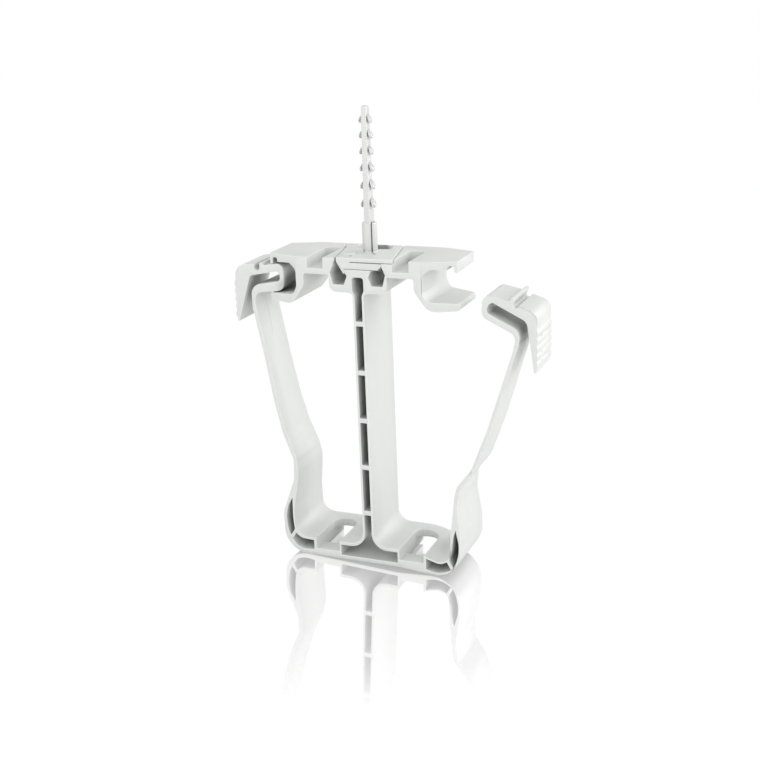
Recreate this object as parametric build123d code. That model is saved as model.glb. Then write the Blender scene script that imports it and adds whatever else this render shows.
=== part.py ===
"""Two-chamber cable bundle holder with a push-in wall plug.

The holder is one springy moulding: a hollow base, a hollow pillar, a top plate
with two C-shaped hooks and two latch arms that bend at a thin neck above the
base. Each arm closes one chamber beside the pillar. The plug slides into a
dovetail in the top plate. Millimetres, +Z up, Y is the depth of the moulding.
The origin is the middle of the flat underside, below the pillar.
"""
import os
from math import acos, hypot, tan

from build123d import *

# Driving sizes of the moulding
DEPTH = 20.0                # along Y, at the base, the pillar and the centre of the plate
PLATE_TOP = 90.0            # height of the top plate's upper face
FLOOR_TOP = 5.45            # chamber floor above the underside
SKIN = 0.75                 # side skins of the hollow base
SKIN_ABOVE = 1.0
SKIN_BELOW = 1.2
TIP_HALF_DEPTH = 6.94       # half depth of the hook ends and of the arm heads
WAIST_HALF_DEPTH = 8.1      # half depth of the arms just above the neck
TAPER_LEVELS = (12.0, 29.0, 58.0)       # where the depth of the sides starts and stops to shrink

# Pillar
PILLAR_HALF = 1.67
PILLAR_WALL = 0.62
PILLAR_FOOT_RADIUS = 4.0
RIB_COUNT = 5
RIB_FIRST = 15.55
RIB_PITCH = 14.08
RIB_THICK = 1.35

# Centre block that carries the dovetail
BLOCK_HALF = 8.55
BLOCK_BOTTOM = PLATE_TOP - 9.45
BLOCK_CORNER = 2.2
HEAD_CAVITY_HALF = 1.68
HEAD_CAVITY_LOW = PLATE_TOP - 8.8
HEAD_CAVITY_TOP = PLATE_TOP - 5.1
POCKET_LOW = PLATE_TOP - 7.3

# Thin webs and raised pads of the top plate
WEB_LOW = PLATE_TOP - 4.7
WEB_TOP = PLATE_TOP - 3.1
SINK_INNER = 10.2
SINK_OUTER = 15.0
SINK_END = 4.1              # where the sink's round end lies along Y
HOOK_OUTER = 16.25
TAPER_START = 18.6
HOOK_TIP = 27.8

# Hook cavity
CAVITY_WALL = 18.65
CAVITY_TOP = PLATE_TOP - 2.1
CAVITY_SHOULDER = 20.6      # where the ceiling of the cavity becomes flat
CAVITY_STEP = 25.0          # where the ceiling rises to the notch behind the nib
NOTCH_RISE = 0.95
NIB_LOW = PLATE_TOP - 3.05
NIB_THICK = 0.95
JAW_TOP = PLATE_TOP - 11.5
JAW_LOW = PLATE_TOP - 13.8
JAW_TIP = 28.2

# Front channels in the base
CHANNEL_INNER = 9.4
CHANNEL_OUTER = 16.85
CHANNEL_FLOOR = 2.25
CHANNEL_STRIP = 5.0         # how far the channel floor reaches back from the front
CHANNEL_WALL = 0.55
CHANNEL_SLAB = 2.5          # floor slab left above the opening to the back
CHANNEL_END = 6.1           # apex of the round end along Y

# Latch arms
STRAP = 1.1
NECK_GAP = 0.05
NECK_COLLAR = 0.15          # how much wider the lobe is than the strap at the neck
NECK_RIM = 0.28             # how far below the bend the lobe's socket ends
BUMP_COUNT = 5
BUMP_RADIUS = 1.9
BUMP_HEIGHT = 0.42

# Post with a wider head between two pockets, and the plug's foot that grips it
POST_TOP = PLATE_TOP - 3.0
POST_NECK_LOW = PLATE_TOP - 4.9
POST_HEAD_HALF = 4.0
POST_NECK_HALF = 3.15
POCKET_FLOOR_INNER = 4.1
POCKET_WALL = 0.4
POCKET_WIDEST = BLOCK_HALF - POCKET_WALL
POCKET_FLOOR_OUTER = POCKET_WIDEST - 0.85
POCKET_WIDEST_LEVEL = PLATE_TOP - 4.0
THROAT_HALF = POCKET_WIDEST - 1.05
THROAT_LEVEL = PLATE_TOP - 1.7

# Plate of the plug, turned about the shaft, and the body of its foot below it
FOOT_GAP = 0.1
FOOT_TURN = 12.0            # degrees
FOOT_TOP = PLATE_TOP + 0.25
FOOT_PLATE = 1.1
FOOT_HALF = 8.1
FOOT_FRONT = -9.8
FOOT_BACK = 8.8
FOOT_BODY_LOW = POST_TOP + FOOT_GAP
FOOT_LEG_LOW = PLATE_TOP - 4.2
FOOT_LEG_HALF = 4.25
FOOT_BODY_HALF = THROAT_HALF - 0.8
FOOT_BODY_RIGHT = THROAT_HALF - FOOT_GAP
FOOT_BODY_RIGHT_LOW = FOOT_BODY_RIGHT - 1.1
FOOT_SLOT = (-2.2, 7.4, 0.28, 0.6)      # start, end, height and depth of the front slot
FOOT_WINDOW = (-0.9, 3.3, 5.2, 7.9)     # x and y limits of the window behind the shaft
FOOT_PADS = ((-7.4, 5.2, 3.4, 3.2), (-4.2, -4.4, 3.0, 3.2))     # x, y, length, width
FOOT_PAD_HEIGHT = 0.3

# Shaft of the plug
SHANK_RADIUS = 2.1
SHANK_TOP = PLATE_TOP + 8.3
SHANK_RIB_HALF = 1.2
SHANK_GROOVE = (0.35, 0.85)             # width and depth
WEB_HALF_THICK = (0.9, 0.75)            # at the shank and at the tip
WEB_HALF_DEPTH = (1.8, 1.2)
PLUG_TIP = PLATE_TOP + 39.9
BARB_LEVELS = (12.9, 17.7, 22.9, 26.9, 31.1, 35.2)      # above the plate
BARB_LENGTH = 2.4
BARB_RADIUS_LOW = 2.35
BARB_RADIUS_HIGH = 1.93
BARB_HALF_DEPTH = 1.35
BARB_LEAF = 0.5


def fitted_radii(points, radii):
    """Corner radii of a closed outline, made smaller where two arcs would meet."""
    count = len(points)
    lengths = []
    for index in range(count):
        (x_a, z_a), (x_b, z_b) = points[index], points[(index + 1) % count]
        lengths.append(hypot(x_b - x_a, z_b - z_a))
    reaches = []
    for index in range(count):
        (x_a, z_a), (x_b, z_b), (x_c, z_c) = (
            points[index - 1], points[index], points[(index + 1) % count])
        dot = (x_b - x_a) * (x_c - x_b) + (z_b - z_a) * (z_c - z_b)
        turn = acos(max(-1, min(1, dot / (lengths[index - 1] * lengths[index]))))
        reaches.append(max(tan(turn / 2), 0.0001))
    fitted = list(radii)
    for index in range(count):
        following = (index + 1) % count
        used = fitted[index] * reaches[index] + fitted[following] * reaches[following]
        room = 0.96 * lengths[index]
        if used > room:
            fitted[index] *= room / used
            fitted[following] *= room / used
    return fitted


def outline(corners):
    """Closed face in the XZ plane; a corner is (x, z) or (x, z, radius)."""
    points = [(corner[0], corner[1]) for corner in corners]
    radii = fitted_radii(points, [corner[2] if len(corner) > 2 else 0 for corner in corners])
    return Plane.XZ * make_face(FilletPolyline(*points, radius=radii, close=True))


def box_outline(x_low, x_high, z_low, z_high):
    """Rectangle in the XZ plane."""
    return outline([(x_low, z_low), (x_high, z_low), (x_high, z_high), (x_low, z_high)])


def through(face, depth=DEPTH):
    """Extrude a profile over the whole depth, centred on Y = 0."""
    return extrude(face, amount=depth / 2, both=True)


def both_sides(shape):
    """A shape and its mirror image across the pillar."""
    return shape + mirror(shape, about=Plane.YZ)


def plan_envelope():
    """Plan shape of the top plate: full depth in the middle, narrow hook ends."""
    half = DEPTH / 2
    reach = HOOK_TIP + 4
    taper = (half - TIP_HALF_DEPTH) / (HOOK_TIP - TAPER_START)
    end_half = half - taper * (reach - TAPER_START)
    corners = [
        (-reach, -end_half), (-TAPER_START, -half), (TAPER_START, -half), (reach, -end_half),
        (reach, end_half), (TAPER_START, half), (-TAPER_START, half), (-reach, end_half),
    ]
    return extrude(make_face(Polyline(*corners, close=True)), amount=PLATE_TOP + 5)


def side_envelope():
    """Side shape of lobes and arms: full depth at the base, narrow at the top."""
    half = DEPTH / 2
    low, middle, high = TAPER_LEVELS
    corners = [
        (-half, -5), (half, -5), (half, low), (WAIST_HALF_DEPTH, middle), (TIP_HALF_DEPTH, high),
        (TIP_HALF_DEPTH, PLATE_TOP + 5), (-TIP_HALF_DEPTH, PLATE_TOP + 5),
        (-TIP_HALF_DEPTH, high), (-WAIST_HALF_DEPTH, middle), (-half, low),
    ]
    return extrude(Plane.YZ * make_face(Polyline(*corners, close=True)), amount=60, both=True)


# One side of the moulding, in coordinates that point outwards from the pillar.
# The latched side is drawn up straight, the free side hangs and splays a little.
LATCHED_LOBE = {
    "outer": [(27.0, 0.0, 7.6), (27.0, 12.8, 6.0), (23.42, 23.4, 8.0)],
    "inner": [(22.38, 22.4, 8.0), (23.5, 14.5, 8.0), (23.5, FLOOR_TOP, 4.1)],
    "neck": (22.9, 26.0),
    "upper_hollow": [(24.2, 17.2), (25.6, 14.6, 6.0), (26.15, 11.2, 9.0), (25.95, 7.6, 5.0),
                     (25.1, 5.3), (23.7, 7.4), (23.98, 10.3, 9.0)],
    "lower_hollow": [(17.6, 1.8), (20.7, 1.35, 8.0), (23.4, 2.5, 4.0), (24.5, 4.3),
                     (23.35, 6.2), (21.5, 4.8, 3.0), (17.6, 4.65)],
}
FREE_LOBE = {
    "outer": [(28.15, -2.1, 8.4), (28.15, 11.4, 6.0), (27.05, 20.4, 6.0)],
    "inner": [(25.75, 19.0, 12.0), (25.25, 13.0, 12.0), (24.75, 2.0, 3.4), (14.5, 5.35, 20.0)],
    "neck": (26.9, 24.2),
    "upper_hollow": [(26.65, 13.7), (27.55, 9.6, 6.0), (27.5, 6.6, 9.0), (26.8, 3.9, 6.0),
                     (25.8, 1.9), (24.65, 3.9), (25.5, 7.7, 12.0), (25.95, 11.5, 12.0)],
    "lower_hollow": [(17.6, 0.45), (21.8, -0.55, 7.0), (25.1, 1.25), (23.9, 3.55),
                     (21.9, 2.5, 3.0), (17.6, 3.75)],
}

# The heads of the arms are given in heights below the plate's upper face.
LATCHED_ARM = {
    "strap": [(23.15, 28.8, 4.0), (26.1, 36.2, 16.0), (28.5, 45.4, 60.0)],
    "strap_end": (33.85, -15.8),
    "head": [
        (34.4, -17), (34.4, -9.8, 3.2), (25.1, -8.05, 1.2), (25.1, -5.15, 1.2),
        (34.6, -7, 1.2), (38.95, -20.6, 0.2), (39.45, -20.6, 0.2), (39.25, -4, 3.4),
        (33.05, -3.55), (33.05, -4.6), (31.35, -4.6), (31.35, -3.1, 0.2),
        (30.25, -3.1, 0.2), (29.95, -3.85), (26.3, -3.15, 1.5), (23.75, -2.65, 2.6),
        (24.0, -10.8, 2.4), (33.3, -11.85, 2.2), (33.3, -17),
    ],
    "notch": (32.2, -4.55, 0.85),
    "bumps": ((39.3, -8.4), (39.45, -19.6)),
}
FREE_ARM = {
    "strap": [(27.3, 26.2, 3.0), (31.3, 31.2, 10.0), (36.1, 43.8, 60.0)],
    "strap_end": (43.85, -21.7),
    "head": [
        (44.05, -22.8), (45.1, -18, 3.2), (35.3, -13.25, 1.2), (36.6, -10.25, 1.2),
        (46.6, -15.25, 2.4), (48.5, -29.2, 0.2), (49.2, -29.2, 0.2), (49.55, -12.7, 3.0),
        (44.35, -10.9), (44.0, -11.6), (42.9, -11.1), (43.35, -9.1, 0.2),
        (42.55, -8.8, 0.2), (42.1, -9.95), (37.2, -8.9, 1.5), (34.45, -8.1, 2.4),
        (34.1, -14.65, 2.4), (43.75, -19.3, 2.4), (43.0, -22.4),
    ],
    "notch": (43.6, -10.95, 0.8),
    "bumps": ((49.35, -17.4), (49.2, -28.2)),
}


def base_side(lobe):
    """Hollow base end and lobe of one side, from the channel wall to the neck."""
    neck_x, neck_z = lobe["neck"]
    half = STRAP / 2 + NECK_COLLAR
    rim = neck_z - NECK_RIM
    start = CHANNEL_INNER - CHANNEL_WALL
    corners = [(start, 0)]
    corners += lobe["outer"]
    corners += [(neck_x + half, rim), (neck_x - half, rim)]
    corners += lobe["inner"]
    corners += [(start, FLOOR_TOP)]
    block = outline(corners)
    # Two hollows with a slanting strut between them lighten the lobe.
    solid = through(block)
    solid -= through(outline(lobe["upper_hollow"])) + through(outline(lobe["lower_hollow"]))
    # A round socket at the neck takes the rounded foot of the arm's strap.
    socket = Plane.XZ * Location((neck_x, neck_z)) * Circle(STRAP / 2 + NECK_GAP)
    return (solid - through(socket)) & side_envelope()


def base_middle():
    """Hollow base below the pillar, between the inner walls of the two channels."""
    half = CHANNEL_INNER - CHANNEL_WALL
    slab = through(box_outline(-half, half, 0, FLOOR_TOP))
    return slab - through(box_outline(-half, half, SKIN_BELOW, FLOOR_TOP - SKIN_ABOVE))


def channel_cut():
    """Channel of the +X side: open to the front, with an opening to the back below it."""
    radius = (CHANNEL_OUTER - CHANNEL_INNER) / 2
    middle = (CHANNEL_OUTER + CHANNEL_INNER) / 2
    front = -DEPTH / 2
    straight_end = CHANNEL_END - radius
    length = straight_end - front
    slot = Pos(middle, front + length / 2) * Rectangle(2 * radius, length)
    slot += Pos(middle, straight_end) * Circle(radius)
    under_length = DEPTH - CHANNEL_STRIP + 1
    under = Pos(middle, front + CHANNEL_STRIP + under_length / 2) * Rectangle(
        2 * radius, under_length)
    cut = extrude(Pos(0, 0, CHANNEL_FLOOR) * slot, amount=FLOOR_TOP)
    cut += extrude(Pos(0, 0, -2) * under, amount=FLOOR_TOP - CHANNEL_SLAB + 2)
    return cut


def pillar():
    """Hollow pillar with its flared foot, ribs and the cavity in its head."""
    foot = PILLAR_FOOT_RADIUS
    low = FLOOR_TOP - SKIN_ABOVE
    column = through(box_outline(-PILLAR_HALF, PILLAR_HALF, low, BLOCK_BOTTOM + 1))
    corner = Pos(PILLAR_HALF, 0, FLOOR_TOP) * flare(foot, -0.5)
    column += both_sides(corner)
    return column


def flare(radius, below):
    """Concave fillet wedge with its corner at the origin, rising along +X and +Z."""
    wedge = box_outline(-0.1, radius, below, radius)
    wedge -= Plane.XZ * Location((radius, radius)) * Circle(radius)
    return through(wedge)


def pillar_hollow():
    """Space inside the pillar, its foot and its head."""
    inside = PILLAR_HALF - PILLAR_WALL
    foot = PILLAR_FOOT_RADIUS + PILLAR_WALL
    low = FLOOR_TOP - SKIN_ABOVE
    hollow = through(box_outline(-inside, inside, low - 0.2, HEAD_CAVITY_LOW))
    hollow += both_sides(Pos(inside, 0, low) * flare(foot, -0.2))
    hollow += through(outline([
        (-inside, HEAD_CAVITY_LOW - 1.4), (inside, HEAD_CAVITY_LOW - 1.4),
        (HEAD_CAVITY_HALF, HEAD_CAVITY_LOW), (HEAD_CAVITY_HALF, HEAD_CAVITY_TOP, 0.8),
        (-HEAD_CAVITY_HALF, HEAD_CAVITY_TOP, 0.8), (-HEAD_CAVITY_HALF, HEAD_CAVITY_LOW),
    ]))
    for index in range(RIB_COUNT):
        middle = RIB_FIRST + index * RIB_PITCH
        hollow -= through(box_outline(-PILLAR_HALF, PILLAR_HALF, middle - RIB_THICK / 2,
                                      middle + RIB_THICK / 2))
    return hollow


def hook_side():
    """Web, pad and C-shaped hook of the +X side."""
    notch_top = CAVITY_TOP + NOTCH_RISE
    profile = outline([
        (BLOCK_HALF - 1, WEB_LOW), (HOOK_OUTER, WEB_LOW, 0.6), (HOOK_OUTER, WEB_LOW - 3.3, 3.0),
        (HOOK_OUTER + 4.15, JAW_LOW, 3.4), (JAW_TIP, JAW_LOW + 0.3, 0.9), (JAW_TIP, JAW_TOP, 0.8),
        (CAVITY_WALL + 1.2, JAW_TOP + 0.5, 2.2), (CAVITY_WALL, JAW_TOP + 2.9, 2.0),
        (CAVITY_WALL, CAVITY_TOP - 1.7, 2.0), (CAVITY_SHOULDER, CAVITY_TOP, 1.2),
        (CAVITY_STEP, CAVITY_TOP - 0.3), (CAVITY_STEP + 0.25, notch_top, 0.8),
        (HOOK_TIP - NIB_THICK, notch_top, 0.7), (HOOK_TIP - NIB_THICK, NIB_LOW, 0.3),
        (HOOK_TIP, NIB_LOW, 0.3), (HOOK_TIP, PLATE_TOP, 0.3), (BLOCK_HALF - 1, PLATE_TOP),
    ])
    return through(profile) & plan_envelope()


def sink_cut():
    """Sink between the centre block and the pad, open to the front."""
    width = SINK_OUTER - SINK_INNER
    middle = (SINK_OUTER + SINK_INNER) / 2
    straight_end = SINK_END - width / 2
    front = -DEPTH / 2 - 1
    length = straight_end - front
    plan = Pos(middle, front + length / 2) * Rectangle(width, length)
    plan += Pos(middle, straight_end) * Circle(width / 2)
    return extrude(Pos(0, 0, WEB_TOP) * plan, amount=PLATE_TOP)


def centre_block():
    """Block under the dovetail, with a shelf of rounded corners."""
    block = through(outline([
        (-BLOCK_HALF, BLOCK_BOTTOM, BLOCK_CORNER), (BLOCK_HALF, BLOCK_BOTTOM, BLOCK_CORNER),
        (BLOCK_HALF, PLATE_TOP), (-BLOCK_HALF, PLATE_TOP),
    ]))
    corner = Pos(PILLAR_HALF, 0, BLOCK_BOTTOM) * Rot(180, 0, 0) * flare(1.3, -0.3)
    return block + both_sides(corner)


def turned_slab(half_width, low, high):
    """Slab between two heights with long sides turned as the plug's plate is."""
    slab = Pos(0, 0, (low + high) / 2) * Box(2 * half_width, 4 * DEPTH, high - low)
    return Rot(0, 0, FOOT_TURN) * slab


def dovetail_cut():
    """Seat for the plug's foot and the two pockets that leave the post between them."""
    plate_low = FOOT_TOP - FOOT_PLATE - FOOT_GAP
    seat = through(outline([
        (-POST_HEAD_HALF, POST_TOP), (POST_HEAD_HALF, POST_TOP), (THROAT_HALF, THROAT_LEVEL),
        (THROAT_HALF, plate_low + 0.1), (-THROAT_HALF, plate_low + 0.1),
        (-THROAT_HALF, THROAT_LEVEL),
    ]))
    seat += turned_slab(FOOT_HALF + FOOT_GAP, plate_low, PLATE_TOP + 2)
    pocket = through(outline([
        (POCKET_FLOOR_OUTER, POCKET_LOW), (POCKET_WIDEST, POCKET_WIDEST_LEVEL),
        (THROAT_HALF, THROAT_LEVEL), (POST_HEAD_HALF, POST_TOP + 0.1), (POST_HEAD_HALF, POST_TOP),
        (POST_NECK_HALF, POST_NECK_LOW), (POCKET_FLOOR_INNER, POCKET_LOW),
    ]))
    return seat + both_sides(pocket)


def holder_frame():
    """The moulding without its two latch arms."""
    body = base_middle() + pillar() + centre_block() + both_sides(hook_side())
    body += mirror(base_side(LATCHED_LOBE), about=Plane.YZ)
    body += base_side(FREE_LOBE)
    body -= pillar_hollow()
    body -= dovetail_cut()
    body -= both_sides(channel_cut())
    body -= both_sides(sink_cut())
    return body


def latch_arm(lobe, arm):
    """Latch arm of the +X side: strap, loop, catch ridge and finger lever."""
    neck = lobe["neck"]
    end_x, end_z = arm["strap_end"]
    path = FilletPolyline(
        neck, *[(point[0], point[1]) for point in arm["strap"]], (end_x, end_z + PLATE_TOP),
        radius=[point[2] for point in arm["strap"]])
    strap = Plane.XZ * make_face(offset(path, amount=STRAP / 2, side=Side.BOTH))
    head = outline([(corner[0], corner[1] + PLATE_TOP, *corner[2:]) for corner in arm["head"]])
    notch_x, notch_z, notch_radius = arm["notch"]
    head -= Plane.XZ * Location((notch_x, notch_z + PLATE_TOP)) * Circle(notch_radius)
    (x_a, z_a), (x_b, z_b) = arm["bumps"]
    for index in range(BUMP_COUNT):
        share = (index + 0.5) / BUMP_COUNT
        x = x_a + (x_b - x_a) * share
        z = z_a + (z_b - z_a) * share + PLATE_TOP
        bump = Plane.XZ * Location((x - BUMP_RADIUS + BUMP_HEIGHT, z)) * Circle(BUMP_RADIUS)
        head += bump & box_outline(x - 0.3, x + 1, z - 3, z + 3)
    return through(strap + head) & side_envelope()


def plug_foot():
    """Turned plate of the plug and the body that fills the groove and grips the post."""
    slope = (POST_TOP - POST_NECK_LOW) / (POST_HEAD_HALF - POST_NECK_HALF)
    leg_inner = POST_HEAD_HALF - (POST_TOP - FOOT_LEG_LOW) / slope + FOOT_GAP
    plate_low = FOOT_TOP - FOOT_PLATE
    plate = turned_slab(FOOT_HALF, plate_low, FOOT_TOP)
    body_left = extrude(outline([
        (-FOOT_BODY_HALF, plate_low + 0.1), (-FOOT_LEG_HALF, FOOT_LEG_LOW),
        (-leg_inner, FOOT_LEG_LOW), (-POST_HEAD_HALF - FOOT_GAP, FOOT_BODY_LOW),
        (FOOT_BODY_RIGHT_LOW, FOOT_BODY_LOW), (FOOT_BODY_RIGHT, THROAT_LEVEL),
        (FOOT_BODY_RIGHT, plate_low + 0.1),
    ]), amount=DEPTH, both=True)
    leg_right = extrude(outline([
        (POST_HEAD_HALF + FOOT_GAP, FOOT_BODY_LOW + 0.1), (leg_inner, FOOT_LEG_LOW),
        (FOOT_LEG_HALF + 0.4, FOOT_LEG_LOW), (FOOT_BODY_RIGHT_LOW, FOOT_BODY_LOW + 0.1),
    ]), amount=DEPTH / 4, both=True)
    foot = plate + ((body_left + leg_right) & turned_slab(FOOT_HALF, POCKET_LOW, FOOT_TOP))
    length = FOOT_BACK - FOOT_FRONT
    foot &= Pos(0, FOOT_FRONT + length / 2, PLATE_TOP) * Box(4 * FOOT_HALF, length, DEPTH)
    x_a, x_b, height, depth = FOOT_SLOT
    foot -= Pos((x_a + x_b) / 2, FOOT_FRONT, plate_low - height / 2) * Box(
        x_b - x_a, 2 * depth, height)
    x_a, x_b, y_a, y_b = FOOT_WINDOW
    foot -= Pos((x_a + x_b) / 2, (y_a + y_b) / 2, FOOT_TOP) * Box(
        x_b - x_a, y_b - y_a, 2 * FOOT_PLATE + 1)
    for x, y, length, width in FOOT_PADS:
        foot += Pos(x, y, FOOT_TOP) * Rot(0, 0, FOOT_TURN) * Box(
            length, width, 2 * FOOT_PAD_HEIGHT)
    return foot


def plug_shaft():
    """Grooved shank and the flat web with its barbs."""
    shank = Pos(0, 0, (PLATE_TOP + SHANK_TOP) / 2) * Cylinder(SHANK_RADIUS, SHANK_TOP - PLATE_TOP)
    width, depth = SHANK_GROOVE
    for x in (-SHANK_RIB_HALF, SHANK_RIB_HALF):
        for y in (-SHANK_RADIUS, SHANK_RADIUS):
            shank -= Pos(x, y, (FOOT_TOP + SHANK_TOP) / 2 + 1) * Box(
                width, 2 * depth, SHANK_TOP - FOOT_TOP + 2)
    low = SHANK_TOP - 1
    thick_low, thick_high = WEB_HALF_THICK
    depth_low, depth_high = WEB_HALF_DEPTH
    web = extrude(outline([
        (-thick_low, low), (thick_low, low), (thick_high, PLUG_TIP, thick_high * 0.9),
        (-thick_high, PLUG_TIP, thick_high * 0.9),
    ]), amount=depth_low, both=True)
    side = Plane.YZ * make_face(FilletPolyline(
        (-depth_low, low), (depth_low, low), (depth_high, PLUG_TIP), (-depth_high, PLUG_TIP),
        radius=[0, 0, depth_high * 0.8, depth_high * 0.8], close=True))
    web &= extrude(side, amount=SHANK_RADIUS, both=True)
    shaft = shank + web
    span = len(BARB_LEVELS) - 1
    for index, rise in enumerate(BARB_LEVELS):
        radius = BARB_RADIUS_LOW + (BARB_RADIUS_HIGH - BARB_RADIUS_LOW) * index / span
        barb = Cone(radius, thick_high, BARB_LENGTH)
        barb -= Pos(0, 0, -BARB_LENGTH / 4) * Cone(radius - BARB_LEAF, thick_high / 2,
                                                  BARB_LENGTH / 2)
        barb &= Box(3 * radius, 2 * BARB_HALF_DEPTH, BARB_LENGTH)
        shaft += Pos(0, 0, PLATE_TOP + rise + BARB_LENGTH / 2) * barb
    return shaft


def push_in_plug():
    """Barbed plug, one moulding."""
    return plug_foot() + plug_shaft()


os.makedirs("parts", exist_ok=True)
export_step(holder_frame(), "parts/holder_frame.step")
export_step(mirror(latch_arm(LATCHED_LOBE, LATCHED_ARM), about=Plane.YZ), "parts/left_arm.step")
export_step(latch_arm(FREE_LOBE, FREE_ARM), "parts/right_arm.step")
export_step(push_in_plug(), "parts/push_in_plug.step")
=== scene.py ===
"""Studio picture of a two-chamber cable bundle holder moulded in light grey plastic.

The holder stands on a glossy white table in front of a white background. Its left
latch arm is closed in its hook, its right arm stands open, and a barbed push-in
plug sits in the top plate. Lengths are in metres in the frame of the part, except
where a docstring says millimetres.
"""
import logging
import math
from dataclasses import dataclass
from enum import Enum

import bmesh
import bpy
from mathutils import Matrix, Vector


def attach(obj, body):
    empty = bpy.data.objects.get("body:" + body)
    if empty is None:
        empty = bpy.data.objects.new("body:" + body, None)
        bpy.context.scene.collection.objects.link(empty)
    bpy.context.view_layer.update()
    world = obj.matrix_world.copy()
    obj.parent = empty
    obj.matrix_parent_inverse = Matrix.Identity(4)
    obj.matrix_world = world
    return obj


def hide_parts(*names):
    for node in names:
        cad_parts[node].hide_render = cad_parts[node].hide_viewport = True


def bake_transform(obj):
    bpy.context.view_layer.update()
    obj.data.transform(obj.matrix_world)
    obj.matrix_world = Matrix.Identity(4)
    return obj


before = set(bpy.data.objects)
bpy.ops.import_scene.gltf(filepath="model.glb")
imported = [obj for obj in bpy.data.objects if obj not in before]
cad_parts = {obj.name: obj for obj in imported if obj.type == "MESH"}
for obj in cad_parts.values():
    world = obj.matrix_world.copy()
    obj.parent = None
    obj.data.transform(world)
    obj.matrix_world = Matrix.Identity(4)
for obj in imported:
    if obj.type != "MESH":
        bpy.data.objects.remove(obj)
LOG = logging.getLogger("cable_holder")
MM = 0.001

Point = tuple[float, float, float]
Colour = tuple[float, float, float]
NodeValue = bpy.types.NodeSocket | Vector | tuple[float, ...] | float | int

WHITE = (1.0, 1.0, 1.0, 1.0)
EDGE_ANGLE = math.radians(28)       # an edge sharper than this gets rounded
SHADE_ANGLE = math.radians(32)      # an edge sharper than this keeps its crease

# Places of a colour mix's sockets, whose names aren't unique
MIX_SHARE, MIX_FIRST, MIX_SECOND, MIX_RESULT = 0, 6, 7, 2


class Body(str, Enum):
    """Bodies that the pieces of the holder ride on."""

    FRAME = "frame_body"
    LEFT_ARM = "left_arm_body"
    RIGHT_ARM = "right_arm_body"


def add_node(tree: bpy.types.NodeTree, kind: str,
             inputs: dict[int | str, NodeValue] | None = None,
             **settings: str | int) -> bpy.types.Node:
    """Add a node to a tree, choose its settings and feed its inputs.

    Args:
        tree: The tree.
        kind: Type of the node.
        inputs: What each input gets, by its name or place. A socket is linked, a value set.
        settings: Properties of the node itself.

    Returns:
        The node.
    """
    node = tree.nodes.new(kind)
    for name, value in settings.items():
        setattr(node, name, value)
    for place, value in (inputs or {}).items():
        if isinstance(value, bpy.types.NodeSocket):
            tree.links.new(value, node.inputs[place])
        else:
            node.inputs[place].default_value = value
    return node


def maths(tree: bpy.types.NodeTree, operation: str,
          *values: bpy.types.NodeSocket | float) -> bpy.types.NodeSocket:
    """Add a math node to a tree.

    Args:
        tree: The tree.
        operation: What the node works out.
        values: Its inputs in their order.

    Returns:
        Socket with the result.
    """
    node = add_node(tree, "ShaderNodeMath", dict(enumerate(values)), operation=operation)
    return node.outputs[0]


def mixed_colour(tree: bpy.types.NodeTree, share: bpy.types.NodeSocket, first: NodeValue,
                 second: NodeValue) -> bpy.types.NodeSocket:
    """Add a mix of two colours to a tree.

    Args:
        tree: The tree.
        share: Socket with the share of the second colour.
        first: The first colour, or its socket.
        second: The second colour, or its socket.

    Returns:
        Socket with the mixed colour.
    """
    node = add_node(tree, "ShaderNodeMix",
                    {MIX_SHARE: share, MIX_FIRST: first, MIX_SECOND: second}, data_type="RGBA")
    return node.outputs[MIX_RESULT]


@dataclass(frozen=True)
class Mark:
    """Fine line, speck or soft shade that is painted on the plastic.

    Attributes:
        start: One end, in millimetres in the frame of the part.
        end: The other end.
        half_width: Half of its width in millimetres.
        depth: How dark it is, from 0 to 1.
        soft: Factors on the half width between which it fades out.
    """

    start: Point
    end: Point
    half_width: float
    depth: float
    soft: tuple[float, float] = (0.5, 1.6)

    def darken(self, tree: bpy.types.NodeTree, place: bpy.types.NodeSocket,
               clean: bpy.types.NodeSocket) -> bpy.types.NodeSocket:
        """Lower the share of open colour along the mark.

        Args:
            tree: The material's node tree.
            place: Socket with the place on the object.
            clean: Socket with the share of open colour without the mark.

        Returns:
            Socket with the share of open colour.
        """
        start = Vector(self.start) * MM
        run = Vector(self.end) * MM - start
        offset = add_node(tree, "ShaderNodeVectorMath", {0: place, 1: start},
                          operation="SUBTRACT").outputs["Vector"]
        along = add_node(tree, "ShaderNodeVectorMath", {0: offset, 1: run / run.length_squared},
                         operation="DOT_PRODUCT").outputs["Value"]
        clamped = add_node(tree, "ShaderNodeClamp", {"Value": along}).outputs["Result"]
        nearest = add_node(tree, "ShaderNodeVectorMath", {0: run, "Scale": clamped},
                           operation="SCALE").outputs["Vector"]
        away = add_node(tree, "ShaderNodeVectorMath", {0: offset, 1: nearest},
                        operation="DISTANCE").outputs["Value"]
        fade = add_node(tree, "ShaderNodeMapRange", {
            "Value": away,
            "From Min": self.half_width * self.soft[0] * MM,
            "From Max": self.half_width * self.soft[1] * MM,
            "To Min": 1.0 - self.depth,
            "To Max": 1.0}, interpolation_type="SMOOTHSTEP")
        return maths(tree, "MULTIPLY", clean, fade.outputs["Result"])


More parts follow.
